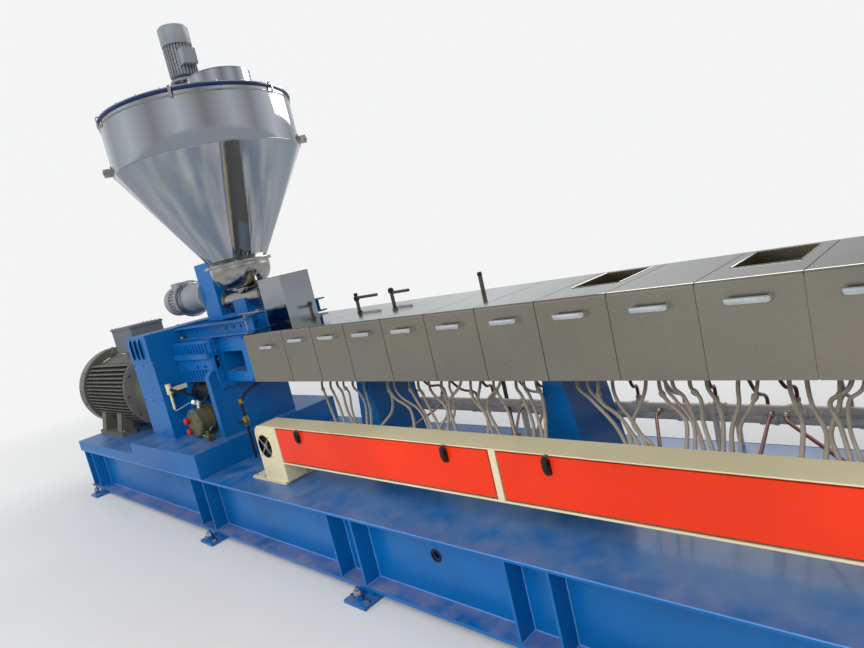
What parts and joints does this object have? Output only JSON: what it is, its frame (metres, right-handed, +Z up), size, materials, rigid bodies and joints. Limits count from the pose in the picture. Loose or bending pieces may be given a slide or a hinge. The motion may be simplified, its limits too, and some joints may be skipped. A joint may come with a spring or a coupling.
{
  "type": "twin-screw plastic compounding extruder",
  "caption": "Twin-screw plastic extruder on a welded base: motor, gearbox, stirred hopper with screw feeder, covered barrel, strand die and water valve box with drop-down doors.",
  "frame": {"origin": "centre of the machine's footprint at floor level", "axes": "+X along the barrel from the drive to the die, +Y away from the operator's side, +Z up"},
  "size_m": [6.81, 1.332, 3.172],
  "materials": {
    "machine_blue": "satin",
    "motor_olive_grey": "satin",
    "cowl_dark": "satin",
    "cable_box_grey": "matte",
    "cooler_black": "gloss",
    "pump_olive": "satin",
    "filter_cream": "satin",
    "gearmotor_grey": "satin",
    "stainless_sheet": "brushed",
    "rim_blue": "gloss",
    "barrel_steel": "satin",
    "shaft_steel": "polished",
    "handle_chrome": "polished",
    "valve_box_cream": "satin",
    "door_orange": "gloss",
    "latch_black": "satin",
    "ventilator_grey": "satin",
    "valve_brass": "satin",
    "tube_grey": "satin",
    "copper": "satin",
    "main_galvanized": "satin",
    "post_brown": "matte"
  },
  "bodies": {
    "root": {"base_front_beam": "machine_blue", "base_rear_beam": "machine_blue", "base_stiffeners": "machine_blue", "base_cross_beams": "machine_blue", "base_deck": "machine_blue", "levelling_feet": "machine_blue", "drive_pedestal": "machine_blue", "main_motor": "motor_olive_grey", "motor_fan_cowl": "cowl_dark", "coupling_guard": "machine_blue", "drive_cable_box": "cable_box_grey", "gearbox_case": "machine_blue", "gearbox_supports": "machine_blue", "open_frame": "machine_blue", "oil_cooler": "cooler_black", "oil_pump": "pump_olive", "oil_filter": "filter_cream", "feeder_rails": "machine_blue", "feeder_bracket": "machine_blue", "feeder_motor": "gearmotor_grey", "feeder_trough": "stainless_sheet", "feed_hood": "stainless_sheet", "hopper_shell": "stainless_sheet", "hopper_neck": "stainless_sheet", "hopper_rim": "rim_blue", "hopper_lid": "stainless_sheet", "lid_inlet": "stainless_sheet", "stirrer_motor": "gearmotor_grey", "barrel": "barrel_steel", "barrel_columns": "machine_blue", "cover_carriers": "stainless_sheet", "cover_feed": "stainless_sheet", "covers_plain": "stainless_sheet", "cover_vent_a": "stainless_sheet", "cover_vent_b": "stainless_sheet", "cover_handles": "handle_chrome", "die_head": "barrel_steel", "valve_box": "valve_box_cream", "valve_box_legs": "valve_box_cream", "leg_ventilator": "ventilator_grey", "valve_manifold": "valve_brass", "water_tubes": "tube_grey", "copper_pipes": "copper", "water_mains": "main_galvanized", "rear_posts": "post_brown"},
    "door_left": {"door_left": "door_orange", "door_latches_left": "latch_black"},
    "door_right": {"door_right": "door_orange", "door_latches_right": "latch_black"},
    "screw_front": {"screw_shaft_front": "shaft_steel"},
    "screw_rear": {"screw_shaft_rear": "shaft_steel"}
  },
  "joints": [
    {"name": "door_left_hinge", "type": "hinge", "parent": "root", "child": "door_left", "pos_m": [0.785, -0.439, 0.538], "axis": [1, 0, 0], "range_deg": [0, 105]},
    {"name": "door_right_hinge", "type": "hinge", "parent": "root", "child": "door_right", "pos_m": [2.285, -0.439, 0.538], "axis": [1, 0, 0], "range_deg": [0, 105]},
    {"name": "screw_front_spin", "type": "hinge", "parent": "root", "child": "screw_front", "pos_m": [-0.615, 0.039, 1.05], "axis": [1, 0, 0], "continuous": true},
    {"name": "screw_rear_spin", "type": "hinge", "parent": "root", "child": "screw_rear", "pos_m": [-0.615, 0.099, 1.05], "axis": [1, 0, 0], "continuous": true}
  ],
  "couplings": [
    {"joint": "screw_rear_spin", "follows": "screw_front_spin", "ratio": 1}
  ]
}
